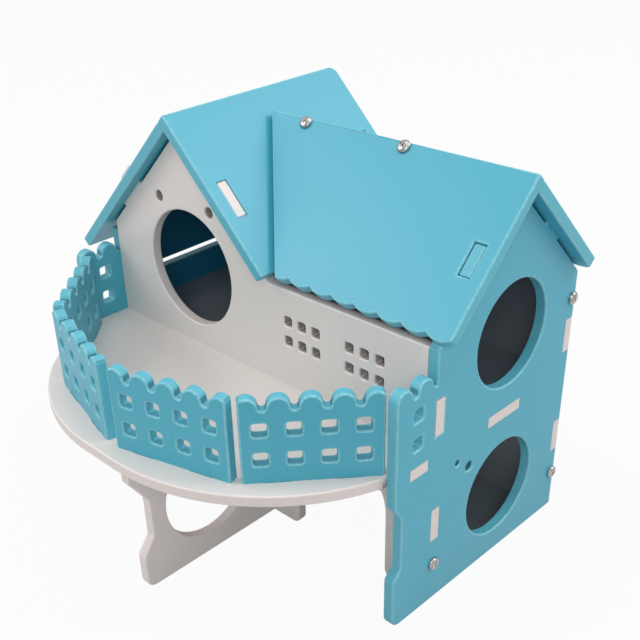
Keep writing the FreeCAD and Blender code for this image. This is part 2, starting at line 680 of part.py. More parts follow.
leg_front = [
    ("-leg_head_reach", "leg_head_height"),
    ("-leg_neck_reach", "leg_neck_high"),
    ("-leg_neck_reach", "leg_neck_low"),
    ("-leg_foot_reach", "leg_foot_height"),
]
leg_tab = [("0", "leg_tab_level - leg_tab / 2"), ("board", "leg_tab_level - leg_tab / 2"),
           ("board", "leg_tab_level + leg_tab / 2"), ("0", "leg_tab_level + leg_tab / 2")]
balcony_leg = new_board(
    "balcony_leg", "YZ_Plane",
    [("-leg_foot_reach", "0"), ("0", "0")] + leg_tab
    + [("0", "under_floor"), ("-leg_head_reach", "under_floor")] + leg_front)
leg_hole = new_sketch(balcony_leg, "YZ_Plane", "hole_plan")
draw_circle(leg_hole, "-leg_hole_reach", "leg_hole_level", "leg_hole")
cut(balcony_leg, leg_hole, "hole")
round_corners(balcony_leg, "YZ_Plane", [("-leg_foot_reach", "0")], "foot_corner", "foot_corner")
round_corners(balcony_leg, "YZ_Plane", leg_front, "neck_corner", "neck_corners")
place(balcony_leg, "middle_x + leg_offset - board / 2", "0", "0")


# ---------------------------------------------------------------- roof slopes

def main_slope(name, direction, start, angle):
    """One slope of the main roof, drawn flat: X along the ridge and Y down or up the slope.

    direction is -1 where the slope falls towards the front.  The eave is a row of scallops
    counted from the right, and the left edge is cut along the valley beside the cross gable.
    """
    def at(down):
        return f"({direction}) * ({down})"

    left = f"roof_end - {SCALLOPS} * scallop_pitch"
    eave = [(f"roof_end - {number} * scallop_pitch", at("cusp_line"), "scallop_radius", direction)
            for number in range(SCALLOPS)]
    outline = [("roof_end", at(start))] + eave + [(left, at("cusp_line")), (left, at(start))]
    body = new_board(name, "XY_Plane", outline, reverse=True)

    valley = new_sketch(body, "XY_Plane", "valley_plan")
    reach = "2 * main_slope"
    draw(valley, [
        (f"valley_start - {reach} * lean", at(f"-{reach}")),
        (f"valley_start + {reach} * lean", at(reach)),
        (f"valley_start - {reach} * lean", at(reach)),
    ])
    cut(body, valley, "valley")

    slot = new_sketch(body, "XY_Plane", "slot_plan")
    draw_box(slot, "right_face + board / 2", at("main_tab_centre"),
             "board + 2 * slot_gap", "main_tab + 2 * slot_gap")
    cut(body, slot, "slot")
    place(body, "0", "ridge_y", "main_ridge", (1, 0, 0), angle)
    return body


def gable_slope(name, direction, start, end, tab_centre, tab, angle):
    """One slope of the cross gable's roof, drawn flat with Y along the ridge."""
    near, far = f"({direction}) * ({start})", f"({direction}) * ({end})"
    front, back = "-gable_overhang", "house_depth + gable_overhang"
    body = new_board(name, "XY_Plane", [(near, front), (far, front), (far, back), (near, back)],
                     reverse=True)
    slots = new_sketch(body, "XY_Plane", "slot_plan")
    for middle in ("board / 2", "house_depth - board / 2"):
        draw_box(slots, f"({direction}) * {tab_centre}", middle,
                 f"{tab} + 2 * slot_gap", "board + 2 * slot_gap")
    cut(body, slots, "slots")
    place(body, "gable_centre", "0", "gable_ridge", (0, 1, 0), angle)


RIDGE_SCREWS = ["ridge_screw_left", "ridge_screw_right"]

# The front slope runs up to the ridge and laps over the edge of the back slope.
main_roof_front = main_slope("main_roof_front", -1, "0", "45")
plan = new_sketch(main_roof_front, "XY_Plane", "screw_plan")
for x in RIDGE_SCREWS:
    draw_circle(plan, x, "-board / 2", "2 * screw_hole")
cut(main_roof_front, plan, "screw_holes")

main_roof_back = main_slope("main_roof_back", 1, "board", "-45")
plan = new_sketch(main_roof_back, "XZ_Plane", "screw_plan")
for x in RIDGE_SCREWS:
    draw_circle(plan, x, "-board / 2", "2 * screw_hole")
cut(main_roof_back, plan, "screw_holes", "screw_length")

# The right slope of the cross gable laps over the left one.
gable_slope("gable_roof_right", 1, "0", "gable_slope_right", "gable_tab_centre", "gable_tab", "45")
gable_slope("gable_roof_left", -1, "board", "board + gable_slope_left", "proud_tab_centre",
            "proud_tab", "-45")


# ---------------------------------------------------------------- screws

def screw(name, x, y, z, axis, angle):
    """A pan-head screw with its head's underside at the given point."""
    body = doc.addObject("PartDesign::Body", name)
    half = new_sketch(body, "XZ_Plane", "profile")
    draw(half, [
        ("0", "-screw_length"),
        ("screw_shank / 2", "-screw_length"),
        ("screw_shank / 2", "0"),
        ("screw_head / 2", "0"),
        ("screw_head / 2", "screw_head_height"),
        ("0", "screw_head_height"),
    ])
    turned = add_feature(body, "Revolution", "turned", half)
    turned.ReferenceAxis = (half, ["V_Axis"])
    turned.Angle = 360
    place(body, x, y, z, axis, angle)
    return body


def screw_set(name, screws):
    group = doc.addObject("Part::Compound", name)
    group.Label = name
    group.Links = screws


screw_set("right_wall_screws", [
    screw(f"right_screw_{number}", "house_width", y, z, (0, 1, 0), "90")
    for number, (y, z) in enumerate(SIDE_SCREWS, 1)])
screw_set("left_wall_screws", [
    screw(f"left_screw_{number}", "0", y, z, (0, 1, 0), "-90")
    for number, (y, z) in enumerate(SIDE_SCREWS, 1)])
screw_set("ridge_screws", [
    screw(f"ridge_screw_{number}", x, "ridge_y - board / 2 * lean", "main_ridge - board / 2 * lean",
          (1, 0, 0), "45")
    for number, x in enumerate(RIDGE_SCREWS, 1)])

# ---------------------------------------------------------------- check and write

NODES = {
    "right_wall": 1, "left_wall": 1, "front_wall_upper": 1, "front_wall_lower": 1,
    "back_wall": 1, "floor_board": 1, "fence_left_side": 1, "fence_left_front": 1,
    "fence_right_front": 1, "fence_right_side": 1, "balcony_leg": 1, "main_roof_front": 1,
    "main_roof_back": 1, "gable_roof_right": 1, "gable_roof_left": 1,
    "right_wall_screws": len(SIDE_SCREWS), "left_wall_screws": len(SIDE_SCREWS),
    "ridge_screws": len(RIDGE_SCREWS),
}

doc.recompute()
for item in doc.Objects:
    if any(state in ("Invalid", "Error") for state in item.State):
        raise RuntimeError(f"{item.Name} failed: {item.State}")
os.makedirs("parts", exist_ok=True)
for name, solids in NODES.items():
    shape = doc.getObjectsByLabel(name)[0].Shape
    if shape.isNull() or not shape.isValid() or len(shape.Solids) != solids:
        raise RuntimeError(f"{name} is not {solids} valid solid(s)")
for name in NODES:
    doc.getObjectsByLabel(name)[0].Shape.exportStep(f"parts/{name}.step")
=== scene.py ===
# %% [markdown]
# # A two-storey board house for a hamster
#
# The house is flat 5 mm board, pushed together with tabs and slots and pinned with eight
# small screws.  A construction model already holds every board at its real size and place.
# This lesson loads that model as a fixed frame and gives it its looks: rounded edges,
# rounded window corners, real screw heads, and board that is coloured right through.
#
# Everything is in metres.  X runs to the right, Y to the back and Z up from the ground.

# %% Load the frame
from collections import Counter
from math import pi, radians, sin

import bmesh
import bpy
from mathutils import Matrix, Vector
from mathutils.bvhtree import BVHTree


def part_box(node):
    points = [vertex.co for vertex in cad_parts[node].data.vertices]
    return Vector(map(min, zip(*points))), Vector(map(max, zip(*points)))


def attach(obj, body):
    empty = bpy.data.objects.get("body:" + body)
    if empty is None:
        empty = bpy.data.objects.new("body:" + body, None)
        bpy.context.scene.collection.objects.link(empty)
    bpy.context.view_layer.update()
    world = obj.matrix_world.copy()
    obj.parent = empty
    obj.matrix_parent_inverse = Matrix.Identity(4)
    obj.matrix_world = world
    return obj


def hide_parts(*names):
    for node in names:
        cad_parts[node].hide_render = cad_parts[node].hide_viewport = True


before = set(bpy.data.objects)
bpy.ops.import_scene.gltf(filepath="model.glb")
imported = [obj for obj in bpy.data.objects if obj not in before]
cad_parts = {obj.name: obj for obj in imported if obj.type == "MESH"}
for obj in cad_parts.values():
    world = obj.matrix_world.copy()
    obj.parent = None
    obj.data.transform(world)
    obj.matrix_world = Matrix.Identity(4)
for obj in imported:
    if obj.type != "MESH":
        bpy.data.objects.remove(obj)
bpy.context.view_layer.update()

mm = 0.001

# %% [markdown]
# ## The camera
#
# The house is seen from its right front corner and from above.  A camera can be aimed with
# a Track To constraint, or by giving it its three axes.  The axes are used here, because
# they also fix its roll.  A Blender camera looks along its own -Z, so the third axis below
# points backwards.  The lens shift moves the picture without turning the camera, which
# keeps upright lines as they are.

# %% Camera
camera_data = bpy.data.cameras.new("camera")
camera_data.sensor_fit = "HORIZONTAL"
camera_data.sensor_width = 36
camera_data.lens = 55.80
camera_data.shift_x = 0.0718
camera_data.shift_y = 0.1177
camera_data.clip_start = 0.01
camera = bpy.data.objects.new("camera", camera_data)
bpy.context.scene.collection.objects.link(camera)

camera_right = Vector((0.6963863, 0.7163889, -0.0428132))
camera_up = Vector((-0.3476827, 0.3889600, 0.8531277))
camera_back = Vector((0.6278239, -0.5792210, 0.5199424))
camera_place = Vector((0.294094, -0.262439, 0.295815))
camera.matrix_world = Matrix((
    (camera_right.x, camera_up.x, camera_back.x, camera_place.x),
    (camera_right.y, camera_up.y, camera_back.y, camera_place.y),
    (camera_right.z, camera_up.z, camera_back.z, camera_place.z),
    (0, 0, 0, 1)))
bpy.context.scene.camera = camera
print("camera stands", round(camera_place.length, 3), "m from the middle of the house's foot")

# %% [markdown]
# ## Node helpers
#
# Every material here is built from shader nodes.  One helper starts a material, and the
# others add one node each and join it up, which keeps the materials short enough to read.

# %% Node helpers
def new_material(name):
    """An empty material: its nodes, its links and its output."""
    made = bpy.data.materials.new(name)
    made.use_nodes = True
    made.node_tree.nodes.clear()
    output = made.node_tree.nodes.new("ShaderNodeOutputMaterial")
    return made, made.node_tree.nodes, made.node_tree.links, output


def sums(nodes, links, operation, first, second):
    """Arithmetic on two sockets or numbers."""
    step = nodes.new("ShaderNodeMath")
    step.operation = operation
    for socket, value in zip(step.inputs, (first, second)):
        if isinstance(value, (int, float)):
            socket.default_value = value
        else:
            links.new(value, socket)
    return step.outputs[0]


def vector_sums(nodes, links, operation, first, second=(0, 0, 0)):
    """Arithmetic on a vector socket and a fixed vector, which some operations don't use."""
    step = nodes.new("ShaderNodeVectorMath")
    step.operation = operation
    links.new(first, step.inputs[0])
    step.inputs[1].default_value = second
    return step.outputs["Value" if operation == "LENGTH" else "Vector"]


def spread(nodes, links, value, low, high, to_low=0.0, to_high=1.0):
    """Stretch a value from one range to another."""
    ramp = nodes.new("ShaderNodeMapRange")
    ramp.inputs["From Min"].default_value = low
    ramp.inputs["From Max"].default_value = high
    ramp.inputs["To Min"].default_value = to_low
    ramp.inputs["To Max"].default_value = to_high
    links.new(value, ramp.inputs["Value"])
    return ramp.outputs["Result"]


# %% [markdown]
# ## Floor, backdrop and light
#
# A product is shown on a white sweep.  The floor is a large matt white plane, which throws
# soft light back up on the house and takes its shadow.  For the camera and for reflections
# it glows as well, so that it comes out nearly white and its shadows are faint.  Under the
# house the glow stops and the floor is painted dark, a painted shadow, so that a room seen
# through a doorway is dark.  Daylight falls in at the front, so a strip behind the lower
# front wall still glows.  The painted shadow fades out well past the walls, where a house
# keeps the light off the floor.
#
# The light is plain: a white surround and four wide lamps like those of a light tent.  One
# is overhead and one in front.  The two others stand where the roof and the gable roof
# mirror them to the camera, which lays a pale sheen on both slopes.

# %% Floor and surround
floor_size = 12
floor_drop = 0.2 * mm
# The footprint's edge is hidden under the walls, this far in from their outer faces.
wall_cover = 2 * mm
lit_doorstep = 45 * mm
# How far past the walls the painted shadow on the floor fades out.
painted_shadow_reach = 90 * mm
glow_share = 0.955
ambient = 0.585

bpy.ops.object.select_all(action="DESELECT")
bpy.ops.mesh.primitive_plane_add(size=floor_size, location=(0, 0, -floor_drop))
floor = bpy.context.object
floor.name = "floor"


def seen_directly(nodes, links):
    """1 for a ray from the camera or from a reflection, and 0 for light on the house."""
    path = nodes.new("ShaderNodeLightPath").outputs
    seen = sums(nodes, links, "MAXIMUM", path["Is Camera Ray"], path["Is Glossy Ray"])
    return sums(nodes, links, "MAXIMUM", seen, path["Is Transmission Ray"])


def outside_house(nodes, links, fade, doorstep=0.0):
    """0 between the walls, rising to 1 outside them; the doorstep counts as outside."""
    left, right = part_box("left_wall")[0].x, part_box("right_wall")[1].x
    front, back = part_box("front_wall_lower")[0].y + doorstep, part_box("back_wall")[1].y
    middle = ((left + right) / 2, (front + back) / 2, 0)
    any_height = 1
    half_size = ((right - left) / 2 - wall_cover, (back - front) / 2 - wall_cover, any_height)
    place = nodes.new("ShaderNodeTexCoord").outputs["Object"]
    across = vector_sums(nodes, links, "SUBTRACT", place, middle)
    across = vector_sums(nodes, links, "ABSOLUTE", across)
    past = vector_sums(nodes, links, "SUBTRACT", across, half_size)
    past = vector_sums(nodes, links, "MAXIMUM", past, (0, 0, 0))
    share = nodes.new("ShaderNodeMapRange")
    share.interpolation_type = "SMOOTHSTEP"
    share.inputs["From Max"].default_value = fade
    links.new(vector_sums(nodes, links, "LENGTH", past), share.inputs["Value"])
    return share.outputs["Result"]


sweep, nodes, links, output = new_material("white_sweep")
matt = nodes.new("ShaderNodeBsdfDiffuse")
shadow_tone = nodes.new("ShaderNodeMix")
shadow_tone.data_type = "RGBA"
# A is the painted shadow under and round the house, B is the plain floor.
shadow_tone.inputs["A"].default_value = (0.22, 0.265, 0.295, 1)
shadow_tone.inputs["B"].default_value = (0.52, 0.52, 0.52, 1)
links.new(outside_house(nodes, links, painted_shadow_reach), shadow_tone.inputs["Factor"])
links.new(shadow_tone.outputs["Result"], matt.inputs["Color"])
glow = nodes.new("ShaderNodeEmission")
glow.inputs["Color"].default_value = (1, 1, 1, 1)
glowing = sums(nodes, links, "MULTIPLY", seen_directly(nodes, links),
               outside_house(nodes, links, wall_cover, lit_doorstep))
blend = nodes.new("ShaderNodeMixShader")
links.new(sums(nodes, links, "MULTIPLY", glowing, glow_share), blend.inputs["Fac"])
links.new(matt.outputs[0], blend.inputs[1])
links.new(glow.outputs[0], blend.inputs[2])
links.new(blend.outputs[0], output.inputs["Surface"])
floor.data.materials.append(sweep)

surround = bpy.data.worlds.new("white_surround")
surround.use_nodes = True
bpy.context.scene.world = surround
nodes, links = surround.node_tree.nodes, surround.node_tree.links
nodes.clear()
background = nodes.new("ShaderNodeBackground")
links.new(spread(nodes, links, seen_directly(nodes, links), 0, 1, ambient, 1),
          background.inputs["Strength"])
sky_output = nodes.new("ShaderNodeOutputWorld")
links.new(background.outputs[0], sky_output.inputs["Surface"])

bpy.context.scene.view_settings.view_transform = "Standard"
print("stage:", floor.name, "and", surround.name)


# %% Lamps
lamp_distance = 1.5
lamp_aim = Vector((0, 0, 80 * mm))


def wide_lamp(name, direction, size, level):
    """A square lamp that faces the house; level 1 alone shows a facing colour as written."""
    lamp_data = bpy.data.lights.new(name, "AREA")
    lamp_data.size = size
    lamp_data.energy = level * pi ** 2 * lamp_distance ** 2
    lamp = bpy.data.objects.new(name, lamp_data)
    bpy.context.scene.collection.objects.link(lamp)
    lamp.location = lamp_aim + Vector(direction).normalized() * lamp_distance
    lamp.rotation_euler = (lamp.location - lamp_aim).to_track_quat("Z", "Y").to_euler()
    print(name, "at", [round(number, 2) for number in lamp.location])


wide_lamp("overhead_lamp", direction=(0.05, 0.05, 1.00), size=1.0, level=0.26)
wide_lamp("left_lamp", direction=(-0.63, -0.52, 0.58), size=0.8, level=0.31)
wide_lamp("back_lamp", direction=(0.52, 0.58, 0.63), size=0.8, level=0.36)
wide_lamp("front_lamp", direction=(0.56, -0.62, 0.55), size=0.8, level=0.23)

# %% [markdown]
# ## Boards
#
# Each board was milled from a sheet and then lightly sanded, so its edges are not knife
# sharp.  The construction model has sharp edges, and its mesh is loose triangles.  It is
# left alone.  A copy of each board has its triangles merged and is then rounded with the
# same tools that a hand would use: Bevel in edit mode for the corners of the windows, and
# the Bevel modifier for all the rims.


# %% Copy a board
board = 5 * mm
same_place = 0.002 * mm
same_plane = radians(0.3)
facing = 0.999


def pick_only(piece):
    """Select one object and nothing else."""
    bpy.ops.object.select_all(action="DESELECT")
    piece.select_set(True)
    bpy.context.view_layer.objects.active = piece


def apply_modifier(piece, kind, **settings):
    """Add a modifier with its settings and apply it."""
    pick_only(piece)
    bpy.ops.object.modifier_add(type=kind)
    modifier = piece.modifiers[-1]
    for name, setting in settings.items():
        setattr(modifier, name, setting)
    bpy.ops.object.modifier_apply(modifier=modifier.name)


def merged_copy(node, name):
    """A copy of a construction board whose flat faces are whole again."""
    piece = bpy.data.objects.new(name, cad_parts[node].data.copy())
    bpy.context.scene.collection.objects.link(piece)
    piece.data.materials.clear()
    pick_only(piece)
    bpy.ops.object.mode_set(mode="EDIT")
    bpy.ops.mesh.select_all(action="SELECT")
    bpy.ops.mesh.remove_doubles(threshold=same_place)
    bpy.ops.mesh.customdata_custom_splitnormals_clear()
    bpy.ops.mesh.dissolve_limited(angle_limit=same_plane)
    bpy.ops.object.mode_set(mode="OBJECT")
    return piece


def sheet_direction(piece):
    """The direction that a board's two large faces look in."""
    return max(piece.data.polygons, key=lambda face: face.area).normal.copy()


# %% [markdown]
# ## Rounded corners
#
# A milling cutter is round, so it can't leave a square corner inside a window.  The fence's
# windows and the lattice windows have small round corners, and so do the back ends of the
# gable roof.  Bevelling them on the finished board pulls at the long faces round them.  It
# is cleaner to work as a sheet cutter does: take the outline of one face and of its holes
# as bare lines, round the corners there with a vertex bevel, fill the outline again and
# give it the board's thickness with Solidify.

# %% Strip a board to its outline
def edit_with(piece, kind, numbers):
    """Open a mesh in edit mode with only these vertices or faces selected."""
    mesh = piece.data
    chosen = {"VERT": mesh.vertices, "FACE": mesh.polygons}[kind]
    bpy.context.tool_settings.mesh_select_mode = (kind == "VERT", False, kind == "FACE")
    for parts in (mesh.vertices, mesh.edges, mesh.polygons):
        parts.foreach_set("select", [False] * len(parts))
    for number in numbers:
        chosen[number].select = True
    bpy.ops.object.mode_set(mode="EDIT")


def keep_outline(piece, through):
    """Strip a board to the lines round one of its large faces and round its holes."""
    others = [face.index for face in piece.data.polygons if face.normal.dot(through) < facing]
    edit_with(piece, "FACE", others)
    bpy.ops.mesh.delete(type="FACE")
    bpy.ops.mesh.select_all(action="SELECT")
    bpy.ops.mesh.region_to_loop()
    bpy.ops.mesh.select_all(action="INVERT")
    bpy.ops.mesh.delete(type="EDGE")
    bpy.ops.mesh.select_all(action="SELECT")
    bpy.ops.mesh.delete(type="ONLY_FACE")
    bpy.ops.object.mode_set(mode="OBJECT")


# %% Cut a board anew with round corners
corner_steps = 5
size_slack = 0.03 * mm


def window_corners(mesh, side):
    """Vertices whose two lines are both as long as a window's side."""
    meeting = Counter()
    for edge in mesh.edges:
        start, end = edge.vertices
        length = (mesh.vertices[start].co - mesh.vertices[end].co).length
        if abs(length - side) < size_slack:
            meeting.update((start, end))
    return [number for number, lines in meeting.items() if lines == 2]


def recut(piece, find_corners, radius):
    """Cut a board anew from its outline, with these corners rounded."""
    through = sheet_direction(piece)
    pick_only(piece)
    keep_outline(piece, through)
    corners = find_corners(piece.data)
    edit_with(piece, "VERT", corners)
    bpy.ops.mesh.bevel(offset=radius, segments=corner_steps, affect="VERTICES")
    bpy.ops.mesh.select_all(action="SELECT")
    bpy.ops.mesh.fill(use_beauty=True)
    bpy.ops.mesh.dissolve_limited(angle_limit=same_plane)
    bpy.ops.object.mode_set(mode="OBJECT")
    if piece.data.polygons[0].normal.dot(through) < 0:
        piece.data.flip_normals()
    apply_modifier(piece, "SOLIDIFY", thickness=board, offset=-1)
    print(piece.name, "rounded corners:", len(corners))


# %% Find the corners to round
level_slack = 0.1 * mm


def square_windows(side):
    """Finds the corners of square windows with that side."""
    return lambda mesh: window_corners(mesh, side)


def ridge_back_end(mesh):
    """Finds the corner where the gable roof's ridge meets its back end."""
    top = max(corner.co.z for corner in mesh.vertices)
    ridge = [corner for corner in mesh.vertices if top - corner.co.z < level_slack]
    return [max(ridge, key=lambda corner: corner.co.y).index]


# %% [markdown]
# ## Sanded rims
#
# The Bevel modifier rounds every rim at once.  Where a tab sits in its slot or the fence
# stands in the balcony, the edges that touch stay sharp, so the joints stay tight.  A bevel
# weight says which edges are rounded.  Weighted Normal then keeps the large faces flat in
# their shading, so that only the narrow rims bend the light.

# %% Choose the edges to round
touching = 0.3 * mm
corner_angle = radians(40)


def solid_tree(node):
    """A search tree over the faces of a construction board."""
    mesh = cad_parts[node].data
    return BVHTree.FromPolygons([corner.co for corner in mesh.vertices],
                                [face.vertices for face in mesh.polygons])


def weigh_edges(piece, node):
    """Mark the edges to round: the sharp ones that don't press on another board."""
    others = [tree for name, tree in TREES.items() if name not in (node, KEPT_ROUND.get(node))]
    shape = bmesh.new()
    shape.from_mesh(piece.data)
    weights = shape.edges.layers.float.new("bevel_weight_edge")
    for edge in shape.edges:
        middle = (edge.verts[0].co + edge.verts[1].co) / 2
        free = all(tree.find_nearest(middle)[3] > touching for tree in others)
        edge[weights] = 1.0 if free and edge.calc_face_angle(0) > corner_angle else 0.0
    shape.to_mesh(piece.data)
    shape.free()


# %% Fill the large faces again and open the slit
skin = 0.01 * mm
slit_low = 91.4 * mm
slit_opening = 2 * mm


def refill_sheets(piece, through):
    """Fill both large faces again inside the loops that the bevel left."""
    for side in (through, -through):
        heights = [corner.co.dot(side) for corner in piece.data.vertices]
        level = max(heights) - skin / 2
        flat = [face.index for face in piece.data.polygons
                if all(heights[number] > level for number in face.vertices)]
        edit_with(piece, "FACE", flat)
        bpy.ops.mesh.delete(type="FACE")
        bpy.ops.mesh.select_all(action="SELECT")
        bpy.ops.mesh.region_to_loop()
        bpy.ops.mesh.fill(use_beauty=True)
        bpy.ops.mesh.select_all(action="SELECT")
        bpy.ops.mesh.normals_make_consistent(inside=False)
        bpy.ops.object.mode_set(mode="OBJECT")


def open_slit(piece):
    """Widen the left wall's slit downwards, so that daylight shows through the board."""
    for corner in piece.data.vertices:
        if abs(corner.co.z - slit_low) < level_slack and corner.co.y > 0:
            corner.co.z -= slit_opening


# %% [markdown]
# ## Three kinds of face
#
# The faces are sorted into three kinds for the materials: the sheet's own smooth faces, the
# milled edges, and the sanded rims between them.  A mark on the faces that look into the
# rooms tells the materials where to paint the board darker as shade.  Another marks where
# painted shade goes on the cut faces: the rims inside the rooms, and the walls of holes so
# narrow that a ray from one wall soon hits the opposite one.

# %% Sort the faces
SHEET, CUT = 0, 1
narrow = 5.2 * mm
# How far a face leans over to the sheet's direction: 0 on a milled edge and 1 on the sheet.
square_on = 0.02
upright = 0.5
house_middle = (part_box("left_wall")[0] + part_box("right_wall")[1]) / 2
ROOM_X = (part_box("left_wall")[0].x + board / 2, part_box("right_wall")[1].x - board / 2)
ROOM_Y = (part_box("front_wall_lower")[0].y + board / 2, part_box("back_wall")[1].y - board / 2)
print("rooms reach from", [round(low / mm, 1) for low, high in (ROOM_X, ROOM_Y)],
      "to", [round(high / mm, 1) for low, high in (ROOM_X, ROOM_Y)], "mm")


def in_rooms(point):
    """Whether a point lies between the four walls or in their inner halves."""
    return ROOM_X[0] < point.x < ROOM_X[1] and ROOM_Y[0] < point.y < ROOM_Y[1]


def sort_faces(piece, through):
    """Give cut faces the second material slot, and mark rims, inner faces and hole walls."""
    for name in ("rim", "inner", "deep"):
        piece.data.attributes.new(name, "FLOAT", "FACE")
    marks = piece.data.attributes
    own = BVHTree.FromPolygons([corner.co for corner in piece.data.vertices],
                               [face.vertices for face in piece.data.polygons])
    for face in piece.data.polygons:
        lean = abs(face.normal.dot(through))
        flat = lean > facing
        inwards = face.normal.dot(house_middle - face.center) > 0 or abs(through.z) > facing
        opposite = own.ray_cast(face.center + face.normal * skin, face.normal, narrow)[0]
        if lean < upright:
            shaded_face = opposite is not None
        else:
            shaded_face = not flat and inwards and in_rooms(face.center)
        # Marks: rim for the pale rims, wear and a painted highlight; inner for the painted shade
        # in the rooms; deep for painted shade in narrow holes and on rims in the rooms.
        face.material_index = SHEET if flat else CUT
        marks["rim"].data[face.index].value = float(lean > square_on and not flat)
        marks["inner"].data[face.index].value = float(flat and inwards)
        marks["deep"].data[face.index].value = float(shaded_face)


# %% Dress a board
rim = 0.75 * mm
rim_steps = 3
smooth_angle = radians(35)


def set_strengths(piece):
    """Let the flat faces, and not the rims, decide the shading where they meet."""
    marks = piece.data.attributes["rim"].data
    groups = {"STRONG": [], "MEDIUM": [], "WEAK": []}
    for face in piece.data.polygons:
        if marks[face.index].value > 0:
            groups["WEAK"].append(face.index)
        else:
            groups["STRONG" if face.material_index == SHEET else "MEDIUM"].append(face.index)
    for strength, numbers in groups.items():
        edit_with(piece, "FACE", numbers)
        bpy.ops.mesh.mod_weighted_strength(set=True, face_strength=strength)
        bpy.ops.object.mode_set(mode="OBJECT")


def dress_board(node, corners=None, radius=0.0):
    """Make the finished board that stands for a construction board."""
    piece = merged_copy(node, node + "_board")
    if node == "left_wall":
        open_slit(piece)
    if corners:
        recut(piece, corners, radius)
    through = sheet_direction(piece)
    weigh_edges(piece, node)
    apply_modifier(piece, "BEVEL", width=rim, segments=rim_steps, limit_method="WEIGHT",
                   use_clamp_overlap=False, loop_slide=False)
    refill_sheets(piece, through)
    sort_faces(piece, through)
    pick_only(piece)
    bpy.ops.object.shade_smooth_by_angle(angle=smooth_angle)
    set_strengths(piece)
    apply_modifier(piece, "WEIGHTED_NORMAL", mode="FACE_AREA", weight=50, keep_sharp=True,
                   use_face_influence=True)
    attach(piece, "root")
    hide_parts(node)
    return piece


# %% Make the boards
fence_window = {"corners": square_windows(5.7 * mm), "radius": 1.1 * mm}
lattice_pane = {"corners": square_windows(4.5 * mm), "radius": 0.9 * mm}
round_end = {"corners": ridge_back_end, "radius": 4 * mm}
BLUE = {
    "right_wall": fence_window,
    "left_wall": fence_window,
    "fence_left_side": fence_window,
    "fence_left_front": fence_window,
    "fence_right_front": fence_window,
    "fence_right_side": fence_window,
    "main_roof_front": {},
    "main_roof_back": {},
    "gable_roof_right": round_end,
    "gable_roof_left": round_end,
}
WHITE = {
    "front_wall_upper": lattice_pane,
    "front_wall_lower": {},
    "back_wall": {},
    "floor_board": {},
    "balcony_leg": {},
}
# A roof only rests on its walls, so it keeps no edge of theirs sharp.  Nor does the upper
# front wall on the right wall: sharp edges there spoil the refilling of the gable's face.
TREES = {node: solid_tree(node) for node in (*BLUE, *WHITE) if "roof" not in node}
KEPT_ROUND = {"right_wall": "front_wall_upper"}
blue_boards = [dress_board(node, **settings) for node, settings in BLUE.items()]
white_boards = [dress_board(node, **settings) for node, settings in WHITE.items()]
for piece in blue_boards + white_boards:
    sides = Counter(edge for face in piece.data.polygons for edge in face.edge_keys)
    open_edges = sum(count != 2 for count in sides.values())
    print(piece.name, len(piece.data.polygons), "faces, open edges:", open_edges)

# %% [markdown]
# ## What board is made of
#
# The board is foamed plastic with the colour all through it.  Its faces are smooth and
# satin, with faint clouds in the colour and a skin like orange peel.  Where it is milled,
# the cut foam is speckled, and the sanded rims are paler still and broken up: partly wear
# and partly a painted highlight.
#
# Five effects are shared by the boards, so each is a node group with its own inputs:
# clouds, pores, rubbed rims with their painted highlight, painted shade in narrow holes and
# painted shade in the rooms.  A group is built once and placed in every material that needs
# it.  Their noise is read in Object coordinates, so a pattern has its real size and sticks
# to the piece.


# %% Helpers for node groups
def mixed(nodes, links, share, first, second):
    """Mix two colour sockets by a share from 0 to 1."""
    mix = nodes.new("ShaderNodeMix")
    mix.data_type = "RGBA"
    links.new(share, mix.inputs["Factor"])
    links.new(first, mix.inputs["A"])
    links.new(second, mix.inputs["B"])
    return mix.outputs["Result"]


def noise(nodes, links, scale, detail=2.0):
    """Noise in the house's own metres: a scale of 100 gives spots of about 10 mm."""
    place = nodes.new("ShaderNodeTexCoord")
    spots = nodes.new("ShaderNodeTexNoise")
    spots.inputs["Scale"].default_value = scale
    spots.inputs["Detail"].default_value = detail
    links.new(place.outputs["Object"], spots.inputs["Vector"])
    return spots.outputs["Fac"]


def new_group(name, inputs, outputs):
    """A shader node group with named sockets: (name, kind, value) in and (name, kind) out."""
    group = bpy.data.node_groups.new(name, "ShaderNodeTree")
    for label, kind, start in inputs:
        socket = group.interface.new_socket(label, in_out="INPUT", socket_type=f"NodeSocket{kind}")
        socket.default_value = start
    for label, kind in outputs:
        group.interface.new_socket(label, in_out="OUTPUT", socket_type=f"NodeSocket{kind}")
    entry = group.nodes.new("NodeGroupInput")
    leave = group.nodes.new("NodeGroupOutput")
    return group, group.nodes, group.links, entry.outputs, leave.inputs

# %% Clouds: slow changes of colour and gloss over a sheet
wide_share, close_share = 0.65, 0.35

clouds, nodes, links, given, result = new_group(
    "clouds",
    [("Color", "Color", (1, 1, 1, 1)), ("Second color", "Color", (1, 1, 1, 1)),
     ("Strength", "Float", 0.5), ("Roughness", "Float", 0.45)],
    [("Color", "Color"), ("Roughness", "Float"), ("Height", "Float")])
wide = spread(nodes, links, noise(nodes, links, scale=12, detail=2), 0.3, 0.7)
close = spread(nodes, links, noise(nodes, links, scale=1400, detail=3), 0.3, 0.7)
both = sums(nodes, links, "ADD", sums(nodes, links, "MULTIPLY", wide, wide_share),
            sums(nodes, links, "MULTIPLY", close, close_share))
both = sums(nodes, links, "MULTIPLY", both, given["Strength"])
links.new(mixed(nodes, links, both, given["Color"], given["Second color"]), result["Color"])
links.new(sums(nodes, links, "ADD", given["Roughness"],
               spread(nodes, links, noise(nodes, links, scale=1100), 0.3, 0.7, -0.05, 0.05)),
          result["Roughness"])
links.new(noise(nodes, links, scale=620, detail=1), result["Height"])
print("node group:", clouds.name, "with", len(nodes), "nodes")

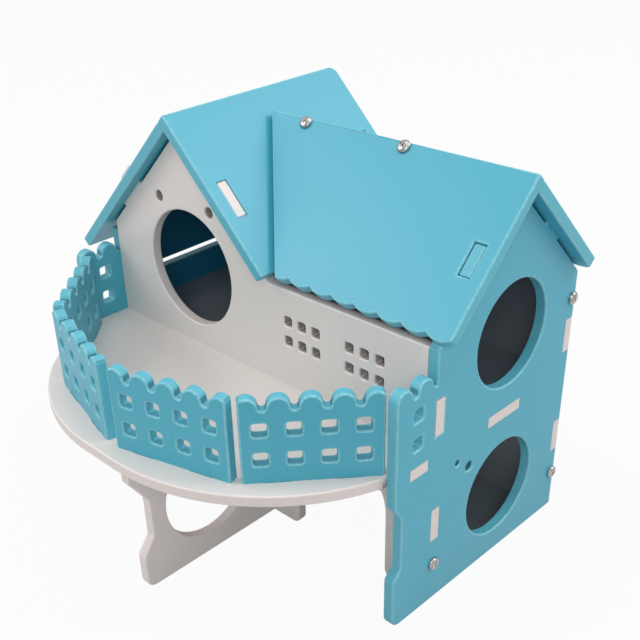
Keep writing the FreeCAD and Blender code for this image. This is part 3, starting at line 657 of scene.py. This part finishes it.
# %% Pores: small spots where the foam is cut open
pores, nodes, links, given, result = new_group(
    "pores",
    [("Color", "Color", (1, 1, 1, 1)), ("Pore color", "Color", (0, 0, 0, 1)),
     ("Strength", "Float", 0.5)],
    [("Color", "Color"), ("Height", "Float")])
place = nodes.new("ShaderNodeTexCoord")
cells = nodes.new("ShaderNodeTexVoronoi")
cells.inputs["Scale"].default_value = 1500
links.new(place.outputs["Object"], cells.inputs["Vector"])
pit = spread(nodes, links, cells.outputs["Distance"], 0.16, 0.34, 1, 0)
patchy = sums(nodes, links, "MULTIPLY", pit,
              spread(nodes, links, noise(nodes, links, scale=300), 0.45, 0.6))
links.new(mixed(nodes, links, sums(nodes, links, "MULTIPLY", patchy, given["Strength"]),
                given["Color"], given["Pore color"]), result["Color"])
links.new(sums(nodes, links, "SUBTRACT", 1, patchy), result["Height"])
print("node group:", pores.name, "with", len(nodes), "nodes")

# %% Rubbed rims: paler from wear and a painted highlight, smoother and broken up
rims_worn_and_lit, nodes, links, given, result = new_group(
    "pale_rims_worn_and_lit",
    [("Color", "Color", (1, 1, 1, 1)), ("Pale rim color", "Color", (1, 1, 1, 1)),
     ("Rim", "Float", 0.0), ("Strength", "Float", 0.7), ("Roughness", "Float", 0.5)],
    [("Color", "Color"), ("Roughness", "Float")])
broken = spread(nodes, links, noise(nodes, links, scale=900, detail=4), 0.35, 0.6, 0.2, 1)
wear_and_highlight = sums(nodes, links, "MULTIPLY", sums(nodes, links, "MULTIPLY", given["Rim"], broken),
            given["Strength"])
links.new(mixed(nodes, links, wear_and_highlight, given["Color"], given["Pale rim color"]), result["Color"])
links.new(sums(nodes, links, "SUBTRACT", given["Roughness"],
               sums(nodes, links, "MULTIPLY", wear_and_highlight, 0.12)), result["Roughness"])
print("node group:", rims_worn_and_lit.name, "with", len(nodes), "nodes")

# %% Painted hole shade: narrow holes and the rims inside the rooms painted darker
hole_shade_darkness = 0.4
painted_hole_shade, nodes, links, given, result = new_group(
    "painted_hole_shade",
    [("Color", "Color", (1, 1, 1, 1)), ("Share", "Float", 0.5), ("Deep", "Float", 0.0)],
    [("Color", "Color")])
hole_shade = nodes.new("ShaderNodeHueSaturation")
hole_shade.inputs["Value"].default_value = hole_shade_darkness
links.new(given["Color"], hole_shade.inputs["Color"])
patches = spread(nodes, links, noise(nodes, links, scale=700, detail=3), 0.3, 0.7, 0.7, 1)
cover = sums(nodes, links, "MULTIPLY", sums(nodes, links, "MULTIPLY", given["Deep"], patches),
             given["Share"])
links.new(mixed(nodes, links, cover, given["Color"], hole_shade.outputs["Color"]), result["Color"])
print("node group:", painted_hole_shade.name, "with", len(nodes), "nodes")

# %% Painted room shade: inner faces painted darker as shade, only between the walls
room_edge = 1 * mm
painted_room_shade, nodes, links, given, result = new_group(
    "painted_room_shade",
    [("Color", "Color", (1, 1, 1, 1)), ("Shade color", "Color", (0.2, 0.2, 0.2, 1)),
     ("Inner", "Float", 0.0)],
    [("Color", "Color")])
between = sums(nodes, links, "SUBTRACT", 1, outside_house(nodes, links, room_edge))
inside = sums(nodes, links, "MULTIPLY", given["Inner"], between)
links.new(mixed(nodes, links, inside, given["Color"], given["Shade color"]), result["Color"])
print("node group:", painted_room_shade.name, "with", len(nodes), "nodes")

# %% [markdown]
# ## Board colours
#
# Two colours of board are used, sky blue and off-white, and each has a face and a cut edge.
# The shader is Principled BSDF, whose gloss stays in the material itself.  The white
# board's cut edge is a little pink.


# %% Satin plastic
plastic_ior = 1.5
sheen_level = 0.8
bump_strength = 0.5


def put_group(nodes, group):
    """Place a node group in a material."""
    node = nodes.new("ShaderNodeGroup")
    node.node_tree = group
    return node


def board_shader(nodes, links, output, height, depth):
    """Satin plastic with a bump, joined to the material's output."""
    shader = nodes.new("ShaderNodeBsdfPrincipled")
    shader.inputs["IOR"].default_value = plastic_ior
    shader.inputs["Specular IOR Level"].default_value = sheen_level
    bump = nodes.new("ShaderNodeBump")
    bump.inputs["Distance"].default_value = depth
    bump.inputs["Strength"].default_value = bump_strength
    links.new(height, bump.inputs["Height"])
    links.new(bump.outputs["Normal"], shader.inputs["Normal"])
    links.new(shader.outputs[0], output.inputs["Surface"])
    return shader


# %% The smooth face of a sheet
peel_depth = 0.03 * mm


def face_material(name, color, second, room_shade):
    """The smooth face of a sheet, with its inner side painted darker as shade."""
    made, nodes, links, output = new_material(name)
    cloud = put_group(nodes, clouds)
    cloud.inputs["Color"].default_value = color
    cloud.inputs["Second color"].default_value = second
    cloud.inputs["Strength"].default_value = 0.5
    cloud.inputs["Roughness"].default_value = 0.42
    shader = board_shader(nodes, links, output, cloud.outputs["Height"], peel_depth)
    marks = nodes.new("ShaderNodeAttribute")
    marks.attribute_name = "inner"
    room = put_group(nodes, painted_room_shade)
    room.inputs["Shade color"].default_value = room_shade
    links.new(cloud.outputs["Color"], room.inputs["Color"])
    links.new(marks.outputs["Fac"], room.inputs["Inner"])
    links.new(room.outputs["Color"], shader.inputs["Base Color"])
    links.new(cloud.outputs["Roughness"], shader.inputs["Roughness"])
    return made


# %% The milled edge of a sheet
pore_depth = 0.05 * mm


def cut_material(name, color, pore, pale):
    """The milled edge of a sheet and its sanded rim."""
    made, nodes, links, output = new_material(name)
    pore_node = put_group(nodes, pores)
    pore_node.inputs["Color"].default_value = color
    pore_node.inputs["Pore color"].default_value = pore
    pore_node.inputs["Strength"].default_value = 0.6
    marks = nodes.new("ShaderNodeAttribute")
    marks.attribute_name = "rim"
    # Pale rims: partly wear, partly a painted highlight.
    pale_rim = put_group(nodes, rims_worn_and_lit)
    pale_rim.inputs["Pale rim color"].default_value = pale
    pale_rim.inputs["Strength"].default_value = 0.7
    pale_rim.inputs["Roughness"].default_value = 0.52
    links.new(pore_node.outputs["Color"], pale_rim.inputs["Color"])
    links.new(marks.outputs["Fac"], pale_rim.inputs["Rim"])
    # Painted shade on the walls of narrow holes and on the rims inside the rooms.
    deep = nodes.new("ShaderNodeAttribute")
    deep.attribute_name = "deep"
    hole = put_group(nodes, painted_hole_shade)
    hole.inputs["Share"].default_value = 0.9
    links.new(pale_rim.outputs["Color"], hole.inputs["Color"])
    links.new(deep.outputs["Fac"], hole.inputs["Deep"])
    shader = board_shader(nodes, links, output, pore_node.outputs["Height"], pore_depth)
    links.new(hole.outputs["Color"], shader.inputs["Base Color"])
    links.new(pale_rim.outputs["Roughness"], shader.inputs["Roughness"])
    return made


# %% Colour the boards
# The last colour of each face material is the painted shade in the rooms.
blue_face = face_material("blue_board_face", (0.043, 0.392, 0.528, 1),
                          (0.070, 0.426, 0.553, 1), (0.009, 0.195, 0.345, 1))
# The last colour of each cut material is the pale rim: wear and a painted highlight.
blue_cut = cut_material("blue_board_cut", (0.090, 0.440, 0.560, 1), (0.260, 0.620, 0.700, 1),
                        (0.270, 0.640, 0.725, 1))
white_face = face_material("white_board_face", (0.780, 0.712, 0.675, 1),
                           (0.815, 0.757, 0.725, 1), (0.205, 0.235, 0.270, 1))
white_cut = cut_material("white_board_cut", (0.790, 0.710, 0.680, 1), (0.620, 0.510, 0.475, 1),
                         (0.840, 0.785, 0.760, 1))
for boards, face, cut, slot in ((blue_boards, blue_face, blue_cut, "blue_board"),
                                (white_boards, white_face, white_cut, "white_board")):
    for piece in boards:
        piece.data.materials.append(face)
        piece.data.materials.append(cut)
    print(slot, "on", len(boards), "boards:", face.name, "and", cut.name)

# %% [markdown]
# ## Screws
#
# The screws are small plated pan heads with a cross recess.  A head could be turned on a
# lathe with Spin.  Here it grows from a disc instead: each ring is extruded up and scaled
# to the next width, which is quick and keeps the rings even.  The cross recess is cut by
# two tapered blades with the Boolean modifier, and a fine Bevel takes the edge off.
#
# One screw is modelled and then copied to its eight places.

# %% Model one screw
head_sides = 40
head_radius = 2.9 * mm
head_height = 1.8 * mm
# Radius and height of each ring, in mm.
head_rings = [(2.9, 0.55), (2.78, 0.95), (2.45, 1.3), (1.95, 1.56), (1.3, 1.72), (0.5, 1.79)]
shank_radius = 1.3 * mm
shank_length = 16 * mm
tip_length = 2 * mm
tip_share = 0.3


def grow(height, width_ratio):
    """Extrude the selected face along Z and scale it."""
    bpy.ops.mesh.extrude_region_move(TRANSFORM_OT_translate={"value": (0, 0, height)})
    bpy.ops.transform.resize(value=(width_ratio, width_ratio, 1))


bpy.ops.object.select_all(action="DESELECT")
bpy.ops.mesh.primitive_circle_add(vertices=head_sides, radius=head_radius, fill_type="NGON")
screw = bpy.context.object
bpy.ops.object.mode_set(mode="EDIT")
bpy.ops.mesh.select_all(action="SELECT")
radius, height = head_radius, 0.0
for ring_radius, ring_height in head_rings:
    grow(ring_height * mm - height, ring_radius * mm / radius)
    radius, height = ring_radius * mm, ring_height * mm
bpy.ops.object.mode_set(mode="OBJECT")

# The disc that it grew from is still the head's underside: the shank grows from there.
underside = [face.index for face in screw.data.polygons
             if len(face.vertices) == head_sides and abs(face.center.z) < skin]
edit_with(screw, "FACE", underside)
bpy.ops.mesh.inset(thickness=head_radius - shank_radius)
grow(tip_length - shank_length, 1)
grow(-tip_length, tip_share)
bpy.ops.mesh.select_all(action="SELECT")
bpy.ops.mesh.normals_make_consistent(inside=False)
bpy.ops.object.mode_set(mode="OBJECT")
print("screw faces:", len(screw.data.polygons), "undersides:", len(underside))

# %% Cut its cross recess
recess_length = 3.3 * mm
recess_width = 0.62 * mm
recess_depth = 1.15 * mm
recess_taper = 0.45
head_rim = 0.07 * mm
head_rim_angle = radians(38)
head_smooth_angle = radians(32)


def blade(angle):
    """A tapered blade that stands in the head's middle."""
    bpy.ops.object.select_all(action="DESELECT")
    bpy.ops.mesh.primitive_cube_add(size=1, location=(0, 0, head_height))
    cutter = bpy.context.object
    cutter.dimensions = (recess_length, recess_width, 2 * recess_depth)
    cutter.rotation_euler.z = angle
    bpy.ops.object.transform_apply(location=False, rotation=True, scale=True)
    for corner in cutter.data.vertices:
        if corner.co.z < 0:
            corner.co.x *= recess_taper
            corner.co.y *= recess_taper
    return cutter


for angle in (0, pi / 2):
    cutter = blade(angle)
    apply_modifier(screw, "BOOLEAN", operation="DIFFERENCE", object=cutter, solver="EXACT")
    bpy.data.objects.remove(cutter)
apply_modifier(screw, "BEVEL", width=head_rim, segments=2, limit_method="ANGLE",
               angle_limit=head_rim_angle, use_clamp_overlap=True)
pick_only(screw)
bpy.ops.object.shade_smooth_by_angle(angle=head_smooth_angle)
print("screw faces with its recess:", len(screw.data.polygons))

# %% Put the screws in their places
front_middle = (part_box("front_wall_lower")[0].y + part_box("front_wall_lower")[1].y) / 2
back_middle = (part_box("back_wall")[0].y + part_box("back_wall")[1].y) / 2
side_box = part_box("right_wall_screws")
low, high = side_box[0].z + head_radius, side_box[1].z - head_radius
SIDE_SPOTS = [(front_middle, low), (back_middle, low), (back_middle, high)]
right_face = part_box("right_wall")[1].x
left_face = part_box("left_wall")[0].x
roof_fall = radians(45)
lap = board / 2 * sin(roof_fall)
ridge_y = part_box("main_roof_back")[0].y
ridge_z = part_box("main_roof_front")[1].z
ridge_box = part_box("ridge_screws")
SCREWS = {
    "right_wall_screws": [(Vector((right_face, y, z)), Vector((1, 0, 0))) for y, z in SIDE_SPOTS],
    "left_wall_screws": [(Vector((left_face, y, z)), Vector((-1, 0, 0))) for y, z in SIDE_SPOTS],
    "ridge_screws": [(Vector((x, ridge_y - lap, ridge_z - lap)), Vector((0, -1, 1)))
                     for x in (ridge_box[0].x + head_radius, ridge_box[1].x - head_radius)],
}
first_turn, next_turn = radians(25), radians(37)
turn = first_turn
screw_pieces = []
for node, places in SCREWS.items():
    copies = []
    for number, (spot, outward) in enumerate(places, 1):
        turn += next_turn
        copy = bpy.data.objects.new(f"{node}_{number}", screw.data.copy())
        bpy.context.scene.collection.objects.link(copy)
        aim = outward.normalized().to_track_quat("Z", "Y").to_matrix().to_4x4()
        copy.data.transform(Matrix.Translation(spot) @ aim @ Matrix.Rotation(turn, 4, "Z"))
        copies.append(copy)
    bpy.ops.object.select_all(action="DESELECT")
    for copy in copies:
        copy.select_set(True)
    bpy.context.view_layer.objects.active = copies[0]
    bpy.ops.object.join()
    copies[0].name = node + "_steel"
    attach(copies[0], "root")
    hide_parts(node)
    screw_pieces.append(copies[0])
bpy.data.objects.remove(screw)
print("screw sets:", [piece.name for piece in screw_pieces])

# %% [markdown]
# ## Plated steel
#
# Bright plating is a metal with low roughness.  It is never clean for long: fine scratches
# change its gloss and grease darkens it in patches.  Both come from noise, and the scratches
# are the same kind of noise pulled out long in one direction by a Mapping node.

# %% Steel material
steel, nodes, links, output = new_material("plated_steel")
place = nodes.new("ShaderNodeTexCoord")
pulled = nodes.new("ShaderNodeMapping")
pulled.inputs["Scale"].default_value = (900, 5200, 2600)
links.new(place.outputs["Object"], pulled.inputs["Vector"])
scratches = nodes.new("ShaderNodeTexNoise")
scratches.inputs["Scale"].default_value = 1
scratches.inputs["Detail"].default_value = 3
links.new(pulled.outputs["Vector"], scratches.inputs["Vector"])
grease = spread(nodes, links, noise(nodes, links, scale=700, detail=3), 0.4, 0.75)
clean_color = nodes.new("ShaderNodeRGB")
clean_color.outputs[0].default_value = (0.50, 0.49, 0.48, 1)
grease_color = nodes.new("ShaderNodeRGB")
grease_color.outputs[0].default_value = (0.16, 0.15, 0.14, 1)
shader = nodes.new("ShaderNodeBsdfPrincipled")
shader.inputs["Metallic"].default_value = 1
links.new(mixed(nodes, links, grease, clean_color.outputs[0], grease_color.outputs[0]),
          shader.inputs["Base Color"])
links.new(spread(nodes, links, scratches.outputs["Fac"], 0.3, 0.7, 0.16, 0.34),
          shader.inputs["Roughness"])
bump = nodes.new("ShaderNodeBump")
bump.inputs["Distance"].default_value = 0.01 * mm
bump.inputs["Strength"].default_value = 0.3
links.new(scratches.outputs["Fac"], bump.inputs["Height"])
links.new(bump.outputs["Normal"], shader.inputs["Normal"])
links.new(shader.outputs[0], output.inputs["Surface"])
for piece in screw_pieces:
    piece.data.materials.clear()
    piece.data.materials.append(steel)
print(steel.name, "on", len(screw_pieces), "sets of screws")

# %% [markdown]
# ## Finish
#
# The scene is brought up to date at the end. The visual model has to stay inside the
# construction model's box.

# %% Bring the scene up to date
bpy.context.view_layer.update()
